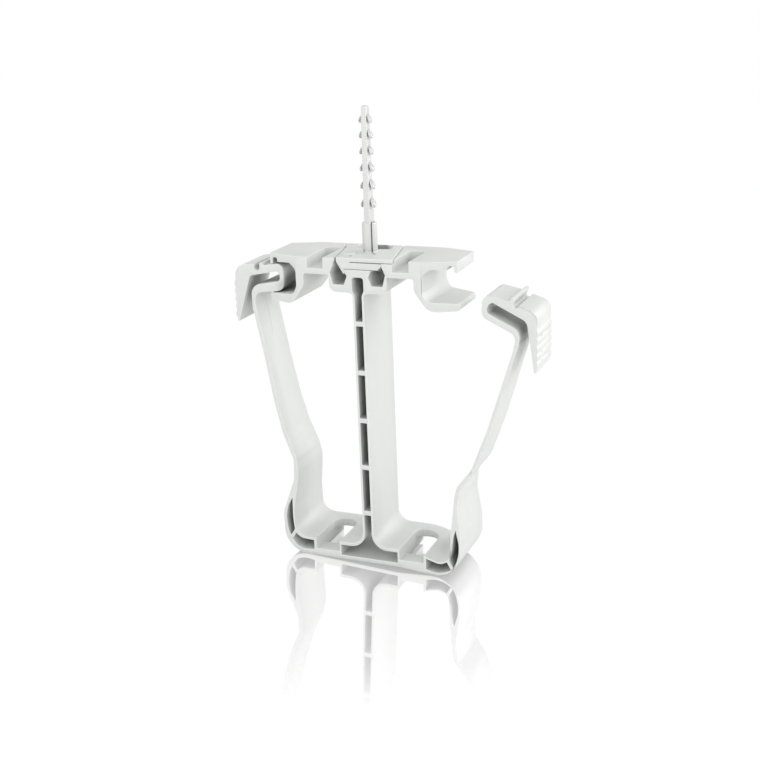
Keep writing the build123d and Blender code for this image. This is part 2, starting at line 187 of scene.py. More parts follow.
@dataclass(frozen=True)
class MouldedPlastic:
    """Satin injection-moulded plastic with faint flow marks, painted edge highlights and hollow
    shade.

    Attributes:
        name: Name of the material.
        colour: Linear base colour.
        edge_highlight_colour: Linear colour of the highlight painted on the rounded outer edges.
        tint_range: Factors on the base colour where the flow marks are darkest and palest.
        roughness: Roughness of the moulded surface.
        roughness_range: How far the grain takes the roughness down and up.
        flow_scale: Fineness of the flow marks.
        flow_stretch: How far the flow marks are drawn out along Z.
        grain_scale: Fineness of the surface's grain.
        grain_relief: Strength and height of the grain's bumps.
        flow_relief: Strength and height of the flow marks' bumps.
        painted_shade_colour: Linear colour of the shade painted at the bottom of narrow hollows.
        painted_shade_left: Share of the open colour that the painted shade leaves there.
        painted_shade_reach: Width below which a hollow counts as narrow and gets painted shade.
        painted_shade_range: Open share of the sky at the bottom and at the mouth of a hollow.
        refraction: Index of refraction.
        translucence: Share of the light that enters the plastic.
        scatter_tint: How far each colour of that light spreads, as a share of the reach.
        scatter_reach: How far it spreads below the surface.
        marks: Lines and specks on the surface, and painted shade.
    """

    name: str
    colour: Colour = (0.672, 0.681, 0.668)
    edge_highlight_colour: Colour = (0.75, 0.755, 0.745)
    tint_range: tuple[float, float] = (0.965, 1.03)
    roughness: float = 0.42
    roughness_range: tuple[float, float] = (-0.06, 0.08)
    flow_scale: float = 170.0
    flow_stretch: float = 0.16
    grain_scale: float = 2600.0
    grain_relief: tuple[float, float] = (0.10, 0.02 * MM)
    flow_relief: tuple[float, float] = (0.25, 0.08 * MM)
    painted_shade_colour: Colour = (0.19, 0.20, 0.195)
    painted_shade_left: float = 0.0
    painted_shade_reach: float = 5.0 * MM
    painted_shade_range: tuple[float, float] = (0.10, 0.48)
    refraction: float = 1.49
    translucence: float = 0.12
    scatter_tint: Colour = (1.0, 1.0, 0.9)
    scatter_reach: float = 1.2 * MM
    marks: tuple[Mark, ...] = ()

    def _coloured(self, tree: bpy.types.NodeTree, place: bpy.types.NodeSocket,
                  flow: bpy.types.NodeSocket) -> bpy.types.NodeSocket:
        """Build the colour: flow marks, painted edge highlight, painted hollow shade and painted
        marks.

        Args:
            tree: The material's node tree.
            place: Socket with the place on the object.
            flow: Socket with the flow marks, from 0 to 1.

        Returns:
            Socket with the colour.
        """
        darkest, palest = self.tint_range
        tint = mixed_colour(tree, flow, (*[part * darkest for part in self.colour], 1.0),
                            (*[min(part * palest, 1.0) for part in self.colour], 1.0))
        # Painted highlight: the faces of the rounded edges take the lighter edge highlight colour
        edge = add_node(tree, "ShaderNodeAttribute", attribute_name="edge").outputs["Fac"]
        edge_highlighted = mixed_colour(tree, edge, tint, (*self.edge_highlight_colour, 1.0))
        # Painted shade: the less sky a spot sees within the reach, the further its colour goes
        # towards the dark shade colour
        sky = add_node(tree, "ShaderNodeAmbientOcclusion", {"Distance": self.painted_shade_reach},
                       samples=6).outputs["AO"]
        share = add_node(tree, "ShaderNodeMapRange", {
            "Value": sky,
            "From Min": self.painted_shade_range[0],
            "From Max": self.painted_shade_range[1],
            "To Min": self.painted_shade_left}).outputs["Result"]
        for mark in self.marks:
            share = mark.darken(tree, place, share)
        return mixed_colour(tree, share, (*self.painted_shade_colour, 1.0), edge_highlighted)

    def build(self) -> bpy.types.Material:
        """Build the node tree of this finish.

        Returns:
            The material.
        """
        material = bpy.data.materials.new(self.name)
        material.use_nodes = True
        tree = material.node_tree
        place = add_node(tree, "ShaderNodeTexCoord").outputs["Object"]
        stretched = add_node(tree, "ShaderNodeMapping", {
            "Vector": place, "Scale": (1.0, 1.0, self.flow_stretch)}).outputs["Vector"]
        flow = add_node(tree, "ShaderNodeTexNoise", {
            "Vector": stretched, "Scale": self.flow_scale, "Detail": 4.0,
            "Distortion": 1.2}).outputs["Fac"]
        grain = add_node(tree, "ShaderNodeTexNoise", {
            "Vector": place, "Scale": self.grain_scale, "Detail": 3.0}).outputs["Fac"]
        satin = add_node(tree, "ShaderNodeMapRange", {
            "Value": grain,
            "To Min": self.roughness + self.roughness_range[0],
            "To Max": self.roughness + self.roughness_range[1]})
        peel = add_node(tree, "ShaderNodeBump", {
            "Strength": self.grain_relief[0], "Distance": self.grain_relief[1],
            "Height": grain})
        sink = add_node(tree, "ShaderNodeBump", {
            "Strength": self.flow_relief[0], "Distance": self.flow_relief[1],
            "Height": flow, "Normal": peel.outputs["Normal"]})

        shader = tree.nodes["Principled BSDF"]
        tree.links.new(self._coloured(tree, place, flow), shader.inputs["Base Color"])
        tree.links.new(satin.outputs["Result"], shader.inputs["Roughness"])
        tree.links.new(sink.outputs["Normal"], shader.inputs["Normal"])
        shader.inputs["IOR"].default_value = self.refraction
        shader.inputs["Subsurface Weight"].default_value = self.translucence
        shader.inputs["Subsurface Radius"].default_value = self.scatter_tint
        shader.inputs["Subsurface Scale"].default_value = self.scatter_reach
        return material


# Fine lines and specks on the frame and its arms, and painted shade in the closed hook
FRAME_MARKS_AND_PAINTED_SHADE = (
    Mark((-33.3, -0.45, 74.98), (-32.49, -0.22, 69.89), 0.11, 0.42),
    Mark((-32.49, -0.22, 69.89), (-31.53, -0.9, 64.71), 0.10, 0.30),
    Mark((-22.5, 0.66, 28.04), (-22.2, -0.36, 23.32), 0.12, 0.12),
    Mark((27.46, -0.95, 17.05), (28.02, -0.18, 12.44), 0.12, 0.16),
    Mark((4.21, 0.1, 5.74), (8.9, 1.88, 5.45), 0.14, 0.20),
    Mark((30.93, -8.01, 31.21), (30.6, -8.1, 30.6), 0.22, 0.30),
    Mark((27.6, 5.71, 24.6), (27.5, 5.5, 24.1), 0.22, 0.25),
    Mark((36.4, -6.94, 81.2), (38.5, -6.94, 81.05), 0.20, 0.16),
    Mark((38.5, -6.94, 81.05), (41.5, -6.94, 80.2), 0.20, 0.18),
    Mark((44.5, -6.94, 78.8), (47.5, -6.94, 77.75), 0.20, 0.22),
    Mark((47.5, -6.94, 77.75), (49.1, -6.94, 76.4), 0.20, 0.22),
    Mark((49.1, -6.94, 76.4), (49.6, -6.94, 73.7), 0.20, 0.22),
    Mark((49.49, -3.0, 70.27), (49.49, -1.9, 70.27), 0.22, 0.35),
    Mark((49.49, -2.9, 65.84), (49.49, -1.8, 65.84), 0.22, 0.35),
    Mark((49.56, -3.1, 63.41), (49.56, -2.1, 63.41), 0.22, 0.35),
    # Painted shade over the deep gap of the closed hook
    Mark((-24.2, -3.9, 80.8), (-24.2, 9.0, 80.8), 2.6, 0.88),       # shade in the closed hook
)
# Fine lines and specks on the plug's foot, and painted shade behind the window and at the web's
# tip
PLUG_MARKS_AND_PAINTED_SHADE = (
    Mark((1.25, -1.75, 90.3), (3.2, -4.43, 90.25), 0.16, 0.9),
    Mark((-5.45, 4.5, 90.25), (-4.4, 4.7, 90.25), 0.30, 0.55),
    Mark((-2.7, -8.0, 90.25), (-3.1, -6.6, 90.25), 0.30, 0.50),
    # Painted shade on the back wall of the foot's window
    Mark((-0.8, 7.5, 89.7), (1.2, 7.9, 89.7), 1.0, 0.85),           # shade behind the window
    Mark((6.86, -9.2, 88.96), (7.1, -9.2, 88.5), 0.14, 0.6),
    # Painted shade that darkens the web's tip
    Mark((1.5, 0.3, 119.0), (1.5, 0.3, 130.0), 1.1, 0.24),          # shade at the web's tip
)


def rounded_mesh(mesh: bpy.types.Mesh, name: str, finish: bpy.types.Material,
                 radius: float) -> bpy.types.Mesh:
    """Give a mesh the small rounded edges that a mould leaves, and mark them for the finish.

    Args:
        mesh: The sharp mesh, which is used up.
        name: Name of the finished mesh.
        finish: Its material.
        radius: Radius of its outer edges.

    Returns:
        The finished mesh, with the attribute "edge" on its faces.
    """
    # For a while the rounded edges have a material place of their own, which tells them apart
    mesh.materials.clear()
    mesh.materials.append(finish)
    mesh.materials.append(finish)
    draft = bpy.data.objects.new(name + "_draft", mesh)
    bpy.context.scene.collection.objects.link(draft)
    rounding = draft.modifiers.new("edges", "BEVEL")
    rounding.width = radius
    rounding.segments = 2
    rounding.limit_method = "ANGLE"
    rounding.angle_limit = EDGE_ANGLE
    rounding.use_clamp_overlap = False
    rounding.material = 1
    graph = bpy.context.evaluated_depsgraph_get()
    rounded = bpy.data.meshes.new_from_object(draft.evaluated_get(graph))
    bpy.data.objects.remove(draft)
    rounded.name = name
    # The finish paints a highlight on the faces marked here
    edges = rounded.attributes.new("edge", "FLOAT", "FACE")
    edges.data.foreach_set("value", [float(face.material_index) for face in rounded.polygons])
    for face in rounded.polygons:
        face.material_index = 0
    rounded.materials.pop()
    rounded.shade_smooth()
    rounded.set_sharp_from_angle(angle=SHADE_ANGLE)
    return rounded


def shown(name: str, mesh: bpy.types.Mesh) -> bpy.types.Object:
    """Put a finished mesh into the scene.

    Args:
        name: Name of the piece.
        mesh: Its mesh, in the frame of the part.

    Returns:
        The piece, not yet tied to a body.
    """
    piece = bpy.data.objects.new(name, mesh)
    bpy.context.scene.collection.objects.link(piece)
    return piece


def lofted(name: str, rings: list[list[Point]]) -> bpy.types.Mesh:
    """Join rings of equally many points to a closed skin.

    Args:
        name: Name of the mesh.
        rings: The rings from bottom to top, each anticlockwise seen from above.

    Returns:
        The mesh.
    """
    count = len(rings[0])
    faces = [tuple(reversed(range(count)))]
    for level in range(len(rings) - 1):
        for step in range(count):
            after = (step + 1) % count
            faces.append((level * count + step, level * count + after,
                          (level + 1) * count + after, (level + 1) * count + step))
    last = (len(rings) - 1) * count
    faces.append(tuple(range(last, last + count)))
    mesh = bpy.data.meshes.new(name)
    mesh.from_pydata([point for ring in rings for point in ring], [], faces)
    return mesh


@dataclass(frozen=True)
class Cut:
    """Straight block taken out of a piece, turned about the part's axis.

    Attributes:
        low: Lower corner in millimetres, before the turn.
        high: Upper corner in millimetres, before the turn.
        turn: Turn about Z in degrees.
    """

    low: Point
    high: Point
    turn: float

    def block(self) -> bpy.types.Object:
        """Build the block, for a Boolean modifier to take out.

        Returns:
            The block as an object.
        """
        low, high = Vector(self.low) * MM, Vector(self.high) * MM
        turned = Matrix.Rotation(math.radians(self.turn), 4, "Z")
        place = turned @ Matrix.Translation((low + high) / 2)
        shape = bmesh.new()
        bmesh.ops.create_cube(shape, size=1.0)
        shape.transform(place @ Matrix.Diagonal((*(high - low), 1.0)))
        mesh = bpy.data.meshes.new("cut")
        shape.to_mesh(mesh)
        shape.free()
        block = bpy.data.objects.new("cut", mesh)
        bpy.context.scene.collection.objects.link(block)
        return block


# The plug's foot sits askew in the top plate, with a seam along its left edge
FOOT_TURN = 12.0                    # degrees
SHANK_START = 90.62 * MM            # the CAD's form ends here and the scene's shank begins
SEAM_CUTS = (
    Cut((-8.52, -13.0, 88.7), (-8.08, 8.9, 91.0), FOOT_TURN),
    Cut((-8.9, 7.7, 88.7), (-8.06, 8.9, 91.0), FOOT_TURN),
)
WINDOW_CUT = Cut((-0.4, 2.5, 86.9), (5.3, 7.4, 91.5), FOOT_TURN)


@dataclass
class MouldedPiece:
    """A moulded CAD form with the small rounded edges that its mould leaves.

    Attributes:
        node: Name of the CAD node that the piece stands for.
        name: Name of the finished piece.
        body: Body that it rides on.
        finish: Its material.
        slot: The record's material slot that it takes its finish from; not used.
        edge_radius: Radius of its outer edges.
        cut_height: Height above which another piece takes its place.
        cuts: Blocks to take out of it.
        weld_distance: Distance within which the CAD mesh's corners are one.
        flat_angle: Angle below which two of its facets are one.
    """

    node: str
    name: str
    body: Body
    finish: bpy.types.Material
    slot: str = "plastic"
    edge_radius: float = 0.13 * MM
    cut_height: float | None = None
    cuts: tuple[Cut, ...] = ()
    weld_distance: float = 0.002 * MM
    flat_angle: float = math.radians(0.35)

    def _merged_copy(self) -> bpy.types.Mesh:
        """Copy the CAD node's mesh, weld it and join its flat facets.

        Returns:
            The clean mesh.
        """
        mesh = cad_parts[self.node].data.copy()
        shape = bmesh.new()
        shape.from_mesh(mesh)
        bmesh.ops.remove_doubles(shape, verts=shape.verts, dist=self.weld_distance)
        bmesh.ops.dissolve_limit(shape, angle_limit=self.flat_angle, verts=shape.verts,
                                 edges=shape.edges, use_dissolve_boundaries=False)
        if self.cut_height is not None:
            cut = bmesh.ops.bisect_plane(
                shape, geom=shape.verts[:] + shape.edges[:] + shape.faces[:],
                plane_co=(0.0, 0.0, self.cut_height), plane_no=(0.0, 0.0, 1.0),
                clear_outer=True)
            rim = [part for part in cut["geom_cut"] if isinstance(part, bmesh.types.BMEdge)]
            bmesh.ops.holes_fill(shape, edges=rim)
        shape.to_mesh(mesh)
        shape.free()
        return self._cut_out(mesh) if self.cuts else mesh

    def _cut_out(self, mesh: bpy.types.Mesh) -> bpy.types.Mesh:
        """Take the blocks out of the mesh.

        Args:
            mesh: The whole mesh.

        Returns:
            The mesh without the blocks.
        """
        whole = bpy.data.objects.new("whole", mesh)
        bpy.context.scene.collection.objects.link(whole)
        blocks = [cut.block() for cut in self.cuts]
        for block in blocks:
            taken = whole.modifiers.new("taken", "BOOLEAN")
            taken.operation = "DIFFERENCE"
            taken.solver = "EXACT"
            taken.object = block
        graph = bpy.context.evaluated_depsgraph_get()
        cut_mesh = bpy.data.meshes.new_from_object(whole.evaluated_get(graph))
        for piece in (whole, *blocks):
            bpy.data.objects.remove(piece)
        return cut_mesh

    def build(self) -> bpy.types.Object:
        """Round the edges, mark them for the finish and dress the piece.

        Returns:
            The finished object.
        """
        mesh = rounded_mesh(self._merged_copy(), self.name, self.finish, self.edge_radius)
        piece = shown(self.name, mesh)
        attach(piece, self.body.value)
        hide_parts(self.node)
        return piece


@dataclass
class PlugShaft:
    """Grooved shank and flat web of the push-in plug.

    Attributes:
        shank_radius: Radius of the shank.
        shank_low: Height at which it leaves the plug's foot.
        shank_top: Height of its upper end.
        shank_rim: Height and width of the slope round its upper end.
        arc_step: Degrees between two points of its outline.
        groove_middle: Distance of each groove from the middle plane.
        groove_width: Width of a groove.
        groove_floor: Distance of the deep grooves' floor from the other middle plane.
        shallow_floor: The same for the shallow grooves.
        web_low: Height at which the web starts, inside the shank.
        web_tip: Height of the web's tip.
        web_thick: Half thickness of the web at the bottom and at the top.
        web_depth: Half depth of the web at the bottom and at the top.
        corner: Radius of the web's long edges.
        tip_length: Length of the web's rounded tip.
        tip_left: Shares of the thickness and of the depth that are left at the very tip.
        tip_turns: Degrees round the tip at which it has a ring.
        tip_support: How far below the rounded tip its two supporting rings lie.
        edge_radius: Radius of the shaft's other edges.
    """

    shank_radius: float = 2.1 * MM
    shank_low: float = SHANK_START
    shank_top: float = 98.3 * MM
    shank_rim: float = 0.12 * MM
    arc_step: int = 6
    groove_middle: float = 1.2 * MM
    groove_width: float = 0.35 * MM
    groove_floor: float = 0.7 * MM
    shallow_floor: float = 1.55 * MM
    web_low: float = 97.3 * MM
    web_tip: float = 129.9 * MM
    web_thick: tuple[float, float] = (0.9 * MM, 0.75 * MM)
    web_depth: tuple[float, float] = (1.8 * MM, 1.2 * MM)
    corner: float = 0.2 * MM
    tip_length: float = 1.0 * MM
    tip_left: tuple[float, float] = (0.35, 0.30)
    tip_turns: tuple[int, ...] = (10, 25, 40, 52, 64, 76)
    tip_support: tuple[float, float] = (1.0 * MM, 0.3 * MM)
    edge_radius: float = 0.05 * MM

    def _shank_outline(self) -> list[tuple[float, float]]:
        """Draw a circle with a groove in each of its four quarters.

        Returns:
            The points, anticlockwise.
        """
        near = self.groove_middle - self.groove_width / 2
        far = self.groove_middle + self.groove_width / 2
        near_rim, far_rim = (math.sqrt(self.shank_radius ** 2 - wall ** 2)
                             for wall in (near, far))
        points = []
        for quarter in range(4):
            right, back = quarter in (0, 3), quarter in (0, 1)
            floor = self.groove_floor if right != back else self.shallow_floor
            groove = [(far, far_rim), (far, floor), (near, floor), (near, near_rim)]
            inwards = quarter in (0, 2)
            if not inwards:
                groove.reverse()
            arc = [math.radians(quarter * 90.0 + turn) for turn in range(0, 90, self.arc_step)]
            circle = [(self.shank_radius * math.cos(turn), self.shank_radius * math.sin(turn))
                      for turn in arc]
            solid = [point for point in circle if not near < abs(point[0]) < far]
            before = [point for point in solid if (abs(point[0]) > far) == inwards]
            after = [point for point in solid if (abs(point[0]) > far) != inwards]
            side_x, side_y = (1 if right else -1), (1 if back else -1)
            points += before + [(side_x * x, side_y * y) for x, y in groove] + after
        return points

    def _shank(self) -> bpy.types.Mesh:
        """Build the shank with its slightly narrowed upper rim.

        Returns:
            The mesh.
        """
        outline = self._shank_outline()
        shrink = 1.0 - self.shank_rim / self.shank_radius
        straight = (self.shank_low, self.shank_top - self.shank_rim)
        rings = [[(x, y, height) for x, y in outline] for height in straight]
        rings.append([(x * shrink, y * shrink, self.shank_top) for x, y in outline])
        return lofted("shank", rings)

    def _web_ring(self, height: float, size: float) -> list[Point]:
        """Draw the rounded rectangle that the web is at a height.

        Args:
            height: The height.
            size: How far it is from the very tip's size, 0, to the full one, 1.

        Returns:
            The points, anticlockwise.
        """
        share = (height - self.web_low) / (self.web_tip - self.web_low)
        thick, depth = (
            (low + (high - low) * share) * (left + (1 - left) * size)
            for (low, high), left in zip((self.web_thick, self.web_depth), self.tip_left))
        ring = []
        for middle, side_x, side_y in ((45, 1, 1), (135, -1, 1), (225, -1, -1), (315, 1, -1)):
            for turn in (-45, -15, 15, 45):
                angle = math.radians(middle + turn)
                ring.append((side_x * (thick - self.corner) + self.corner * math.cos(angle),
                             side_y * (depth - self.corner) + self.corner * math.sin(angle),
                             height))
        return ring

    def _web(self) -> bpy.types.Mesh:
        """Build the tapering flat web with its rounded tip.

        Returns:
            The mesh.
        """
        straight = self.web_tip - self.tip_length
        levels = [(self.web_low, 1.0)] + [(straight - below, 1.0) for below in self.tip_support]
        for turn in self.tip_turns:
            angle = math.radians(turn)
            levels.append((straight + self.tip_length * math.sin(angle), math.cos(angle)))
        return lofted("web", [self._web_ring(height, size) for height, size in levels])

    def face_at(self, height: float) -> float:
        """Find half the thickness of the web at a height."""
        share = (height - self.web_low) / (self.web_tip - self.web_low)
        return self.web_thick[0] + (self.web_thick[1] - self.web_thick[0]) * share

    def build(self, finish: bpy.types.Material) -> bpy.types.Object:
        """Build the shaft and dress it.

        Args:
            finish: Its material.

        Returns:
            The finished object.
        """
        both = bmesh.new()
        for part in (self._shank(), self._web()):
            both.from_mesh(part)
            bpy.data.meshes.remove(part)
        mesh = bpy.data.meshes.new("plug_shaft")
        both.to_mesh(mesh)
        both.free()
        mesh = rounded_mesh(mesh, "plug_shaft", finish, self.edge_radius)
        piece = shown("plug_shaft", mesh)
        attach(piece, Body.FRAME.value)
        return piece


@dataclass
class BarbRows:
    """Springy leaves in rows on both sides of the plug's web.

    Attributes:
        rows: Number of rows.
        first_height: Height of the lowest leaf's root.
        first_pitch: Distance to the next row, at the lowest leaf.
        pitch_loss: How much the distance shrinks with the square of the row.
        size_loss: Share of the size that the topmost leaf has lost.
        length: Length of a leaf, from root to tip.
        half_width: Half of its greatest width.
        reach: How far its tip stands out from the web.
        leaf: Its thickness at the root.
        thinning: Share of the thickness that is lost at the tip.
        root_depth: How deep its root sits in the web.
        root_width: Share of the greatest width that the root has.
        root_power: Power that rounds its outline above the root.
        widest: Share of its length at which it is widest.
        tip_powers: Powers that round its outline towards the tip.
        tip_width: Least value that the second power works on, which leaves the tip some width.
        crown: Share of the reach by which its long edges fall back.
        furthest: Share of its length at which it stands out furthest.
        droop: How fast it falls back past there.
        inner_width: Share of the width that its inner face has.
        inner_lift: How much shorter its inner face is.
        steps: Number of faces along and across it.
        crease_angle: Angle above which its edges keep their crease.
    """

    rows: int = 6
    first_height: float = 105.35 * MM
    first_pitch: float = 5.05 * MM
    pitch_loss: float = 0.115 * MM
    size_loss: float = 0.14
    length: float = 2.95 * MM
    half_width: float = 1.5 * MM
    reach: float = 1.36 * MM
    leaf: float = 0.30 * MM
    thinning: float = 0.35
    root_depth: float = 0.16 * MM
    root_width: float = 0.10
    root_power: float = 0.9
    widest: float = 0.62
    tip_powers: tuple[float, float] = (2.4, 2.2)
    tip_width: float = 0.012
    crown: float = 0.32
    furthest: float = 0.82
    droop: float = 0.35
    inner_width: float = 0.94
    inner_lift: float = 0.06 * MM
    steps: int = 12
    crease_angle: float = math.radians(50)

    def _half_width_at(self, share: float) -> float:
        """Find half the width of a leaf at a place along it.

        Args:
            share: The place, from 0 at the root to 1 at the tip.

        Returns:
            Half the width there.
        """
        if share < self.widest:
            swell = math.sin(math.pi / 2 * share / self.widest) ** self.root_power
            return self.half_width * (self.root_width + (1 - self.root_width) * swell)
        past = (share - self.widest) / (1 - self.widest)
        left = max(1 - past ** self.tip_powers[0], self.tip_width)
        return self.half_width * left ** (1 / self.tip_powers[1])

    def _bow_at(self, share: float) -> float:
        """Find how far a leaf stands out at a place along it.

        Args:
            share: The place, from 0 at the root to 1 at the tip.

        Returns:
            The share of the full reach.
        """
        rising = math.sin(math.pi / 2 * min(share / self.furthest, 1.0))
        return rising - self.droop * max(share - self.furthest, 0.0)

    def _leaf_points(self) -> tuple[list[Point], list[Point]]:
        """Work out the points of both faces of a leaf, row by row from the root.

        Returns:
            The points of its outer and of its inner face.
        """
        outer, inner = [], []
        for row in range(self.steps + 1):
            share = row / self.steps
            half, bow = self._half_width_at(share), self._bow_at(share)
            thickness = self.leaf * (1 - self.thinning * share)
            low = -self.length * share
            for column in range(self.steps + 1):
                side = 2 * column / self.steps - 1
                rise = (self.reach + self.root_depth) * bow * (1 - self.crown * side * side)
                rise -= self.root_depth
                outer.append((rise, side * half, low))
                inner.append((rise - thickness, side * half * self.inner_width,
                              low + self.inner_lift * share))
        return outer, inner

    def _leaf(self) -> bpy.types.Mesh:
        """Build one leaf with its root at the origin, standing out along X and pointing down.

        Returns:
            The closed mesh.
        """
        outer, inner = self._leaf_points()
        steps, wide, lower = self.steps, self.steps + 1, len(outer)
        corners = [row * wide + column for row in range(steps) for column in range(steps)]
        faces = [(a, a + 1, a + wide + 1, a + wide) for a in corners]
        faces += [tuple(lower + corner for corner in reversed(face)) for face in faces]
        rim = list(range(wide))
        rim += [row * wide + steps for row in range(1, steps + 1)]
        rim += [steps * wide + column for column in reversed(range(steps))]
        rim += [row * wide for row in reversed(range(1, steps))]
        faces += [(b, a, lower + a, lower + b) for a, b in zip(rim, rim[1:] + rim[:1])]
        mesh = bpy.data.meshes.new("leaf")
        mesh.from_pydata(outer + inner, [], faces)
        shape = bmesh.new()
        shape.from_mesh(mesh)
        bmesh.ops.recalc_face_normals(shape, faces=shape.faces)
        shape.to_mesh(mesh)
        shape.free()
        return mesh

    def _tree(self, shaft: PlugShaft) -> bpy.types.GeometryNodeTree:
        """Build the node tree that sets a leaf on both sides of every row.

        Args:
            shaft: The shaft whose web carries the leaves.

        Returns:
            The tree, with its sizes as named inputs.
        """
        tree = bpy.data.node_groups.new("barb_rows", "GeometryNodeTree")
        face = tree.interface
        face.new_socket("Leaf", in_out="INPUT", socket_type="NodeSocketGeometry")
        face.new_socket("Barbs", in_out="OUTPUT", socket_type="NodeSocketGeometry")
        count = face.new_socket("Rows", in_out="INPUT", socket_type="NodeSocketInt")
        count.default_value = self.rows
        sizes = {
            "First Height": self.first_height,
            "First Pitch": self.first_pitch,
            "Pitch Loss": self.pitch_loss,
            "Web Face": shaft.face_at(self.first_height),
            "Web Taper": ((shaft.web_thick[0] - shaft.web_thick[1])
                          / (shaft.web_tip - shaft.web_low)),
            "Size Loss": self.size_loss / (self.rows - 1),
        }
        for name, value in sizes.items():
            size = face.new_socket(name, in_out="INPUT", socket_type="NodeSocketFloat")
            size.default_value = value
        face.new_socket("Finish", in_out="INPUT", socket_type="NodeSocketMaterial")
        given = add_node(tree, "NodeGroupInput").outputs

        index = add_node(tree, "GeometryNodeInputIndex").outputs[0]
        squared = maths(tree, "MULTIPLY", index, index)
        climb = maths(tree, "SUBTRACT", maths(tree, "MULTIPLY", index, given["First Pitch"]),
                      maths(tree, "MULTIPLY", squared, given["Pitch Loss"]))
        height = maths(tree, "ADD", climb, given["First Height"])
        reach = maths(tree, "SUBTRACT", given["Web Face"],
                      maths(tree, "MULTIPLY", climb, given["Web Taper"]))
        scale = maths(tree, "SUBTRACT", 1.0,
                      maths(tree, "MULTIPLY", index, given["Size Loss"]))

        line = add_node(tree, "GeometryNodeMeshLine", {
            "Count": given["Rows"], "Offset": (0.0, 0.0, 0.0)})
        place = add_node(tree, "ShaderNodeCombineXYZ", {"X": reach, "Z": height})
        moved = add_node(tree, "GeometryNodeSetPosition", {
            "Geometry": line.outputs["Mesh"], "Position": place.outputs[0]})
        sown = add_node(tree, "GeometryNodeInstanceOnPoints", {
            "Points": moved.outputs["Geometry"], "Instance": given["Leaf"], "Scale": scale})
        turned = add_node(tree, "GeometryNodeTransform", {
            "Geometry": sown.outputs["Instances"], "Rotation": (0.0, 0.0, math.pi)})
        joined = add_node(tree, "GeometryNodeJoinGeometry", {
            "Geometry": sown.outputs["Instances"]})
        tree.links.new(turned.outputs["Geometry"], joined.inputs["Geometry"])
        real = add_node(tree, "GeometryNodeRealizeInstances", {
            "Geometry": joined.outputs["Geometry"]})
        dressed = add_node(tree, "GeometryNodeSetMaterial", {
            "Geometry": real.outputs["Geometry"], "Material": given["Finish"]})
        add_node(tree, "NodeGroupOutput", {"Barbs": dressed.outputs["Geometry"]})
        return tree

    def build(self, shaft: PlugShaft, finish: bpy.types.Material) -> bpy.types.Object:
        """Set the leaves on the web and dress them.

        Args:
            shaft: The shaft that carries them.
            finish: Their material.

        Returns:
            The finished object.
        """
        draft = bpy.data.objects.new("barbs_draft", self._leaf())
        bpy.context.scene.collection.objects.link(draft)
        tree = self._tree(shaft)
        rows = draft.modifiers.new("rows", "NODES")
        rows.node_group = tree
        for item in tree.interface.items_tree:
            if item.name == "Finish":
                rows[item.identifier] = finish
        graph = bpy.context.evaluated_depsgraph_get()
        mesh = bpy.data.meshes.new_from_object(draft.evaluated_get(graph))
        bpy.data.objects.remove(draft)
        mesh.name = "plug_barbs"
        mesh.shade_smooth()
        mesh.set_sharp_from_angle(angle=self.crease_angle)
        piece = shown("plug_barbs", mesh)
        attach(piece, Body.FRAME.value)
        return piece


@dataclass
class NeckSkin:
    """Thin skin over the neck where an arm springs from its lobe.

    Attributes:
        name: Name of the piece.
        arm: Body of the arm; not used.
        bend: X and Z of the middle of the bend, in millimetres.
        sections: Height, the two X limits and the half depth, in millimetres, from below.
        blend_reach: Half length of the bend, in millimetres; not used.
        steps: Rings from one section to the next.
        edge_radius: Radius of its edges.
    """

    name: str
    arm: Body
    bend: tuple[float, float]
    sections: tuple[tuple[float, float, float, float], ...]
    blend_reach: float = 2.0
    steps: int = 4
    edge_radius: float = 0.12 * MM

    def build(self, finish: bpy.types.Material) -> bpy.types.Object:
        """Build the skin and dress it.

        Args:
            finish: Its material.

        Returns:
            The finished object.
        """
        between = [[low + (high - low) * step / self.steps for low, high in zip(*pair)]
                   for pair in zip(self.sections, self.sections[1:])
                   for step in range(self.steps)]
        rings = []
        for section in (*between, self.sections[-1]):
            z, x0, x1, half = (MM * value for value in section)
            rings.append([(x0, -half, z), (x1, -half, z), (x1, half, z), (x0, half, z)])
        mesh = rounded_mesh(lofted(self.name, rings), self.name, finish, self.edge_radius)
        piece = shown(self.name, mesh)
        x, z = self.bend
        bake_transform(piece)
        return piece


@dataclass(frozen=True)
class SoftBox:
    """Square soft lamp.

    Attributes:
        name: Name of the lamp.
        place: Where it hangs.
        size: Length of its side.
        power: Its power in watts.
    """

    name: str
    place: Point
    size: float
    power: float

    def hang(self, aim: Point) -> bpy.types.Object:
        """Hang the lamp in its place.

        Args:
            aim: Where it points.

        Returns:
            The lamp.
        """
        lamp = bpy.data.lights.new(self.name, "AREA")
        lamp.shape = "SQUARE"
        lamp.size = self.size
        lamp.energy = self.power
        holder = bpy.data.objects.new(self.name, lamp)
        bpy.context.scene.collection.objects.link(holder)
        towards = Vector(aim) - Vector(self.place)
        holder.rotation_euler = towards.to_track_quat("-Z", "Y").to_euler()
        holder.location = self.place
        return holder


